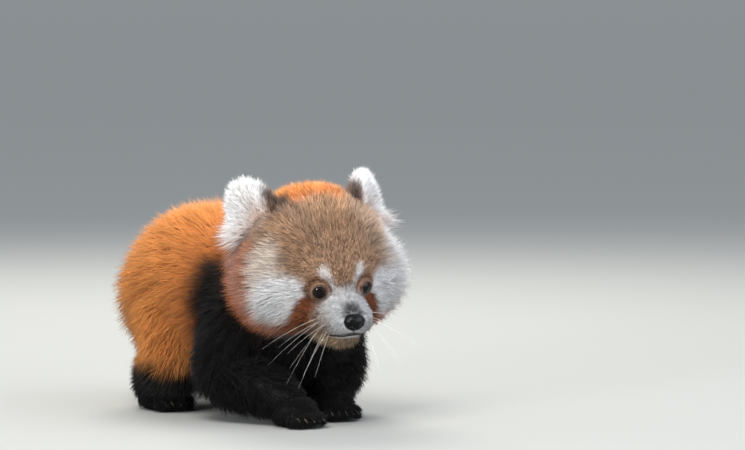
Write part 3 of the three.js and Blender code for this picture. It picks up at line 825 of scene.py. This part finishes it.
faces = np.empty(len(skin.data.polygons) * 3, int)
skin.data.loops.foreach_get("vertex_index", faces)
faces = faces.reshape(-1, 3)
unwrap = np.empty(len(faces) * 6)
skin.data.uv_layers[0].data.foreach_get("uv", unwrap)
unwrap = unwrap.reshape(-1, 3, 2)
skin.data.transform(Matrix.Translation(ORIGIN * MM) @ Matrix.Scale(MM, 4))
FLESH = ["head", "neck", "torso", "tail_root", "tail_middle", "tail_tip"]
for name in SIDES:
    FLESH += [part + "_" + name for part in ("ear", "foreleg", "forepaw", "hindleg", "hindpaw")]
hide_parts(*FLESH)
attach(skin, "root")


# Coat
# Woolly hair in fine tufts, each a bent, tapered, three-sided spike that grows from the skin.
# Neighbouring tufts lean together at the tip, as the coat of a cub clumps. There are too many for an
# operator to make, so each piece's mesh is filled in one go, and all are drawn from one seed.
SEED = 11
rng = np.random.default_rng(SEED)
TUFTS_IN_PIECE = 20000
ROWS = np.array([0.0, 0.5, 1.0])  # how far along the tuft its two rings and its tip are
GIRTHS = np.array([1.0, 0.8])
TUFT_VERTS = 7
STRAY = 0.16  # how much tufts differ in length and direction, as a share
SUNK = 0.6  # how far the root is under the skin
UV_PATCH = 0.003  # the size of a tuft's own patch in the coat's map
FLOOR_GAP = 0.6  # the least height of any hair
LIP_REACH = 6.5  # how far from the line of the mouth the hair is short
AGOUTI, AGOUTI_SHARES = [0.45, 0.85, 1.15, 1.5], [0.2, 0.3, 0.32, 0.18]  # dark to pale tufts, and how many

# Soft hair: matt, with a little sheen at a glancing view, and some light comes through its tips
fur, tree, shader = new_material("woolly_hair", {
    "Roughness": 0.6, "Sheen Weight": 0.05, "Sheen Roughness": 0.5, "Specular IOR Level": 0.16,
})
tint = add_node(tree, "ShaderNodeVertexColor", {"layer_name": "tint"})
tree.links.new(tint.outputs["Color"], shader.inputs["Base Color"])
through = add_node(tree, "ShaderNodeBsdfTranslucent", links={"Color": (tint, "Color")})
mixed = add_node(tree, "ShaderNodeMixShader", values={0: 0.25},
                 links={1: (shader, "BSDF"), 2: (through, "BSDF")})
tree.links.new(mixed.outputs[0], tree.nodes["Material Output"].inputs["Surface"])


def grow(name, share, wide, dense, clumps):
    """Tufts over the part of the skin that share gives: dense to a square millimetre, clumps to a lock"""
    corner = points[faces]
    area = np.linalg.norm(np.cross(corner[:, 1] - corner[:, 0], corner[:, 2] - corner[:, 0]), axis=1) / 2
    wanted = area * (share * (1 - bare))[faces].mean(axis=1)
    count = int(wanted.sum() * dense)
    face = rng.choice(len(faces), count, p=wanted / wanted.sum())
    a, b = rng.random(count), rng.random(count)
    over = a + b > 1
    a[over], b[over] = 1 - a[over], 1 - b[over]
    bary = np.column_stack([1 - a - b, a, b])

    def across(data):
        return np.einsum("nk,nkd->nd", bary, data)

    root = across(points[faces[face]])
    normal = unit(across(normals[faces[face]]))
    trait = across(traits[faces[face]])
    uv = across(unwrap[face])
    long = trait[:, DEPTH] * rng.normal(1, STRAY, count).clip(0.55, 1.3)
    lie = trait[:, LIE] + rng.normal(0, STRAY, (count, 3))
    lie = unit(lie - normal * np.sum(lie * normal, axis=1)[:, None])
    stand = trait[:, STAND, None]
    first = unit(normal * (stand + 0.2) + lie * (1 - stand))
    stray = rng.normal(0, STRAY, (count, 3))
    second = unit(normal * stand * 0.8 + lie * (1.05 - stand) + at(0, 0, -0.1) + stray)
    sunk = root - normal * SUNK
    bend = sunk + first * long[:, None] * ROWS[1]
    centre = np.stack([sunk, bend, bend + second * long[:, None] * (1 - ROWS[1])], axis=1)
    # each tuft leans to the nearest leader, one in so many tufts
    leaders = np.arange(0, count, clumps)
    near = KDTree(len(leaders))
    for i, leader in enumerate(leaders):
        near.insert(root[leader], i)
    near.balance()
    follow = leaders[[near.find(p)[1] for p in root]]
    pull = trait[:, CURL, None, None] * (ROWS ** 1.5)[None, :, None]
    shift = centre[follow] - centre
    shift -= (root[follow] - root)[:, None, :] * 0.25
    centre += shift * pull
    centre[:, :, 2] = np.maximum(centre[:, :, 2], FLOOR_GAP)
    side = unit(np.cross(second, normal) + 1e-6)
    front = unit(np.cross(side, second))
    turn = np.radians([90, 210, 330])
    ring = side[:, None, :] * np.cos(turn)[None, :, None] + front[:, None, :] * np.sin(turn)[None, :, None]
    size = wide * rng.uniform(0.75, 1.25, count) / 2
    rings = [centre[:, r, None, :] + ring * (size * GIRTHS[r])[:, None, None] for r in range(2)]
    verts = np.concatenate([*rings, centre[:, 2, None, :]], axis=1)
    sides = []
    for k in range(3):
        n = (k + 1) % 3
        sides += [(k, n, 3 + n), (k, 3 + n, 3 + k), (3 + k, 3 + n, 6)]
    sides = np.array(sides)
    ramp = np.repeat(ROWS, [3, 3, 1]) ** 1.1
    # brightness varies from tuft to tuft, and less where the coat is even
    brightness = rng.choice(AGOUTI, count, p=AGOUTI_SHARES) * rng.normal(1, 0.1, count)
    # in black coat the spread is far wider, so that some tufts come out paler: painted sheen on black hair,
    # besides the tone that differs from tuft to tuft
    black = smoothstep(0.03, 0.012, trait[:, TIP].max(axis=1))
    brightness = lerp(brightness, brightness[follow], 0.7) ** (1 + 2 * black)
    brightness = lerp(1, brightness, trait[:, GRIZZLE])[:, None, None]
    tints = lerp(trait[:, None, ROOT], trait[:, None, TIP], ramp[None, :, None])
    tints = np.minimum(tints * brightness, 0.97)
    spot = np.column_stack([[0, 0.5, 1, 0, 0.5, 1, 0.5], np.repeat(ROWS, [3, 3, 1])]) * UV_PATCH
    pieces = max(1, math.ceil(count / TUFTS_IN_PIECE))
    # the pieces are cut across, from front to back
    order = np.argsort(root[:, 1] + root[:, 0] * 0.3)
    for number, chosen in enumerate(np.array_split(order, pieces)):
        n = len(chosen)
        mesh = bpy.data.meshes.new(f"{name}_{number + 1}")
        tris = (np.arange(n)[:, None, None] * TUFT_VERTS + sides[None]).reshape(-1, 3)
        mesh.vertices.add(n * TUFT_VERTS)
        mesh.vertices.foreach_set("co", placed(verts[chosen].reshape(-1, 3)).ravel())
        mesh.loops.add(len(tris) * 3)
        mesh.loops.foreach_set("vertex_index", tris.ravel())
        mesh.polygons.add(len(tris))
        mesh.polygons.foreach_set("loop_start", np.arange(0, len(tris) * 3, 3))
        mesh.update(calc_edges=True)
        mesh.shade_smooth()
        layer = mesh.uv_layers.new(name="OFBake")
        spots = (uv[chosen][:, None, :] + spot[None]).reshape(-1, 2)
        layer.data.foreach_set("uv", spots[tris.ravel()].ravel())
        store_tint(mesh, tints[chosen].reshape(-1, 3))
        mesh.materials.append(fur)
        piece = bpy.data.objects.new(mesh.name, mesh)
        bpy.context.scene.collection.objects.link(piece)
        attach(piece, "root")


# the hair is short along the mouth, hangs from the chin, and is long at the ears' outer edges
CHIN_LONGER, EAR_FRINGE = 5, 12
chin = patch(head.local(points), (0, 46, -33), (15, 16, 7), 0.3)
traits[:, DEPTH] += CHIN_LONGER * chin
traits[:, STAND] += 0.25 * chin
traits[:, DEPTH] *= lerp(0.2, 1, smoothstep(1, LIP_REACH, from_mouth(points)))
for s in SIDES.values():
    low_edge = patch(ear_local(points, s), (s * 14, 0, -2), (8, 10, 9), 0.4)
    away = unit(HEAD_AXES @ at(s * 0.95, -0.3, -0.12))
    traits[:, DEPTH] += EAR_FRINGE * low_edge
    traits[:, LIE] = lerp(traits[:, LIE], away, low_edge[:, None])
    traits[:, STAND] = lerp(traits[:, STAND], 0.45, low_edge)

# regions in order: head, body, four legs, four paws, tail, two ears
on_face = smoothstep(0.3, 0.6, -unit(head.local(points))[:, 1])
of_head = weights[0]
of_body = weights[1]
of_legs = weights[2:6].sum(axis=0)
of_paws = weights[6:10].sum(axis=0)
of_tail = weights[10]
of_ears = weights[11:13].sum(axis=0)
grow("coat_face", of_head * on_face, wide=0.4, dense=3.6, clumps=5)
grow("coat_head", of_head * (1 - on_face), wide=0.5, dense=1.9, clumps=9)
grow("coat_body", of_body, wide=0.55, dense=1.2, clumps=10)
grow("coat_legs", of_legs, wide=0.55, dense=1.0, clumps=10)
grow("coat_paws", of_paws, wide=0.45, dense=2.0, clumps=5)
grow("coat_tail", of_tail, wide=0.7, dense=0.9, clumps=12)
grow("coat_ears", of_ears, wide=0.4, dense=2.6, clumps=6)


# Eyes
# Dark glass-like balls with a brown iris round a wide pupil, wet on the outside, set deep in the lids.
PUPIL_EDGE, IRIS_EDGE = 24, 38  # degrees from the middle of the eye
PUPIL, IRIS = "#030202", "#1c0e06"
CORNEA_BULGE = 0.25  # how far the clear front stands out
EYE_INSET = 0.35  # how much smaller the ball is than its socket
# Moist eye surface: nearly black, with one sharp highlight
wet_eye, tree, shader = new_material("wet_eye", {
    "Roughness": 0.05, "Specular IOR Level": 0.3, "IOR": 1.38,
})
tint = add_node(tree, "ShaderNodeVertexColor", {"layer_name": "tint"})
tree.links.new(tint.outputs["Color"], shader.inputs["Base Color"])
for name, s in SIDES.items():
    form = bmesh.new()
    ball = bmesh.ops.create_uvsphere(form, u_segments=48, v_segments=32, radius=EYE_RADIUS)["verts"]
    turn = Vector((0, 0, 1)).rotation_difference(Vector(eye_axis(s)))
    cornea = []
    for vert in ball:
        d = vert.co.normalized()
        angle = math.degrees(math.acos(max(-1, min(1, d.z))))
        cornea.append(angle)
        bulge = CORNEA_BULGE * (1 - float(smoothstep(0, 70, np.array(angle))))
        vert.co = turn @ (d * (EYE_RADIUS - EYE_INSET + bulge)) + Vector(eye_middle(s))
        vert.co = Vector(placed(vert.co))
    eye = mesh_object("eyeball_" + name, form, wet_eye)
    eye.data.shade_smooth()
    angle = np.array(cornea)
    ring = smoothstep(PUPIL_EDGE - 2, PUPIL_EDGE + 2, angle)
    ring = ring * (1 - smoothstep(IRIS_EDGE - 3, IRIS_EDGE + 2, angle))
    store_tint(eye.data, lerp(linear(PUPIL), linear(IRIS), ring[:, None]))
    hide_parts("eye_" + name)
    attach(eye, "root")


# Nose
# A bare pad of black skin, moist and finely pebbled, with a comma-shaped nostril on each side.
NOSE_HALF = (7.2, 5.4, 5.6)
NOSE_WIDENING, NOSE_INSET = 0.16, 0.8  # towards the top, and back into the muzzle
NOSTRIL = (3.6, 3.0, -0.6)  # to each side of the middle, ahead and up
NOSTRIL_DEPTH, NOSTRIL_SPREAD = 2.4, 2.2
GROOVE, GROOVE_SHARE = 0.7, 0.09  # depth of the groove down the middle, and its width as a share
PEBBLE, MOTTLE = 0.67, 3.3  # millimetres across
# Leathery skin, moist, so that it catches soft lights on its pebbles
nose_skin, tree, shader = new_material("moist_nose_skin", {"Roughness": 0.2, "Specular IOR Level": 0.15})
place = add_node(tree, "ShaderNodeTexCoord")
pebbles = add_node(tree, "ShaderNodeTexVoronoi", {"feature": "F1"}, values={"Scale": 1 / (PEBBLE * MM)},
                   links={"Vector": (place, "Object")})
bump = add_node(tree, "ShaderNodeBump", {"invert": True}, values={"Strength": 0.5, "Distance": 0.0002},
                links={"Height": (pebbles, "Distance")})
tree.links.new(bump.outputs["Normal"], shader.inputs["Normal"])


def mottled(tree, shader, spacing, dark, light):
    """A base colour that clouds between two tones, so many millimetres apart"""
    place = add_node(tree, "ShaderNodeTexCoord")
    clouds = add_node(tree, "ShaderNodeTexNoise", values={"Scale": 1 / (spacing * MM)},
                      links={"Vector": (place, "Object")})
    tone = add_node(tree, "ShaderNodeMix", {"data_type": "RGBA"}, links={0: (clouds, 0)})
    tone.inputs[6].default_value = rgba(dark)
    tone.inputs[7].default_value = rgba(light)
    tree.links.new(tone.outputs[2], shader.inputs["Base Color"])


mottled(tree, shader, MOTTLE, "#020203", "#0a0a0b")
form = bmesh.new()
pad = bmesh.ops.create_uvsphere(form, u_segments=48, v_segments=32, radius=1)["verts"]
for vert in pad:
    x, y, z = vert.co
    wide = NOSE_HALF[0] * (1 + NOSE_WIDENING * z)
    local = np.array([x * wide, y * NOSE_HALF[1] + NOSE_INSET, z * NOSE_HALF[2]])
    groove = GROOVE * math.exp(-(x / GROOVE_SHARE) ** 2) * max(0, -y) * max(0, 0.5 - z)
    local[1] += groove
    for s in SIDES.values():
        off = local - at(s * NOSTRIL[0], NOSTRIL[1], NOSTRIL[2])
        off = off * (1, 0.5, 1.4)
        local[1] += NOSTRIL_DEPTH * math.exp(-(off @ off) / NOSTRIL_SPREAD)
    vert.co = Vector(placed(HEAD_AXES @ (local + at(*NOSE)) + at(*HEAD_CENTRE)))
nose = mesh_object("nose_pad", form, nose_skin)
nose.data.shade_smooth()
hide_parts("nose")
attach(nose, "root")


# Lids
# A thin rim of dark bare skin round each eye, on the edge of the lids.
LID_RIM, RIM_LIFT = 0.42, 0.3
CREASES = 1.25  # millimetres between them
# Thin hairless skin: soft shine, and finely creased in two browns
lid_skin, tree, shader = new_material("dark_lid_skin", {"Roughness": 0.4})
mottled(tree, shader, CREASES, "#1c120d", "#4a3325")
for name, s in SIDES.items():
    form = bmesh.new()
    section = bmesh.ops.create_circle(form, segments=10, radius=LID_RIM)["verts"]
    radius = EYE_RADIUS * math.sin(math.radians(LID_OPEN))
    bmesh.ops.rotate(form, verts=section, matrix=Matrix.Rotation(math.pi / 2, 3, "X"))
    height = EYE_RADIUS * math.cos(math.radians(LID_OPEN)) + RIM_LIFT
    bmesh.ops.translate(form, verts=section, vec=(radius, 0, height))
    bmesh.ops.spin(form, geom=form.verts[:] + form.edges[:], axis=(0, 0, 1), cent=(0, 0, 0),
                   steps=40, angle=2 * math.pi, use_merge=True)
    bmesh.ops.recalc_face_normals(form, faces=form.faces)
    turn = Vector((0, 0, 1)).rotation_difference(Vector(eye_axis(s)))
    for vert in form.verts:
        vert.co = Vector(placed(turn @ vert.co + Vector(eye_middle(s))))
    rim = mesh_object("lid_rim_" + name, form, lid_skin)
    rim.data.shade_smooth()
    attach(rim, "root")


# Lips
# A thin line of bare black skin along the mouth, which the short hair round it leaves open.
LIP_RADIUS, LIP_LIFT = 0.32, 0.35
LIP_ENDS = 9  # how many points at each corner of the mouth the hair hides
# Bare black skin, dry and without shine
lip_skin = new_material("black_lip_skin", {
    "Roughness": 0.6, "Specular IOR Level": 0.1, "Base Color": rgba(LIP),
})[0]
line = bpy.data.curves.new("lips", "CURVE")
line.dimensions = "3D"
line.bevel_depth = LIP_RADIUS * MM
line.bevel_resolution = 2
line.use_fill_caps = True
course = line.splines.new("POLY")
shown = mouth[LIP_ENDS:-LIP_ENDS]
course.points.add(len(shown) - 1)
lifted = placed(shown + unit(shown - on_head(*MOUTH_INSIDE)) * LIP_LIFT)
for point, place in zip(course.points, lifted):
    point.co = (*place, 1)
line.materials.append(lip_skin)
lips = bpy.data.objects.new("lips", line)
bpy.context.scene.collection.objects.link(lips)
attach(lips, "root")


# Claws
# Five on each foot, short, curved and half drawn in, of pale horn.
CLAW_LENGTH, CLAW_RADIUS, CLAW_CURVE = 6.5, 1.15, 3.6
CLAW_DROP, CLAW_ROOT, CLAW_FAN = 0.6, 1.5, 2.5  # below the paw's middle, into the toe, and to the side
STREAKS = 2.5  # millimetres between them
# Horn: a dull shine, and cloudy streaks of brown and bone
horn, tree, shader = new_material("pale_horn", {"Roughness": 0.35})
mottled(tree, shader, STREAKS, "#5d544a", "#a89c8a")
form = bmesh.new()
for name, left, reach, angle in claws:
    cone = bmesh.ops.create_cone(form, cap_ends=True, segments=10, radius1=1, radius2=0.08, depth=1)["verts"]
    for vert in cone:
        x, y, z = vert.co
        t = z + 0.5
        out = reach - CLAW_ROOT + CLAW_LENGTH * t
        local = at(x * CLAW_RADIUS + left - math.sin(angle) * CLAW_FAN * t, out,
                   y * CLAW_RADIUS - CLAW_CURVE * t * t - CLAW_DROP)
        vert.co = Vector(placed(paws[name].axes @ local + paws[name].middle))
nails = mesh_object("claws", form, horn)
nails.data.shade_smooth()
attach(nails, "root")


# Whiskers
# Long, thin, stiff white hairs in three rows on each side of the upper lip, which droop at the end.
WHISKER_ROWS, WHISKERS_IN_ROW = 3, 3
WHISKER_RADIUS = 0.12
WHISKER_BENDS = 7
FIRST_ROOT = (11.5, 57, -16.5)  # on the head, of the foremost whisker of the top row
ROOT_STEP, ROW_STEP = (1.6, -4.0, 0), (0, 0, -2.4)
WHISKER_LENGTH, WHISKER_VARIES = 34, 5
DROOP = (0, -3, -11)  # how far the tip hangs from the straight line
# A single thick hair, smooth and a little glossy
bristle = new_material("whisker_hair", {"Roughness": 0.4, "Base Color": rgba("#f1ede6")})[0]
form = bmesh.new()
for s in SIDES.values():
    for row in range(WHISKER_ROWS):
        for k in range(WHISKERS_IN_ROW):
            start = np.array(FIRST_ROOT) + np.array(ROOT_STEP) * k + np.array(ROW_STEP) * row
            start = start * (s, 1, 1)
            long = WHISKER_LENGTH + 4 * k - 3 * row + rng.uniform(-WHISKER_VARIES, WHISKER_VARIES)
            dip = -0.2 - 0.42 * row + rng.uniform(-0.12, 0.12)
            out = unit(np.array([s * (0.95 - 0.22 * row), 0.35 - 0.25 * k, dip]))
            strand = bmesh.ops.create_cone(form, cap_ends=True, segments=4, radius1=1, radius2=1,
                                           depth=1)["verts"]
            upright = [e for e in form.edges if e.verts[0] in strand and e.calc_length() < 1.01
                       and abs(e.verts[0].co.z - e.verts[1].co.z) > 0.5]
            bmesh.ops.subdivide_edges(form, edges=upright, cuts=WHISKER_BENDS)
            for vert in form.verts:
                if vert.tag:
                    continue
                x, y, z = vert.co
                t = z + 0.5
                thin = WHISKER_RADIUS * (1 - 0.8 * t)
                local = at(*start) + at(*(out * long * t)) + at(*DROOP) * t * t
                local += np.array([x * thin, 0, y * thin])
                vert.co = Vector(placed(HEAD_AXES @ local + at(*HEAD_CENTRE)))
                vert.tag = True
whiskers = mesh_object("whiskers", form, bristle)
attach(whiskers, "root")

low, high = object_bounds()
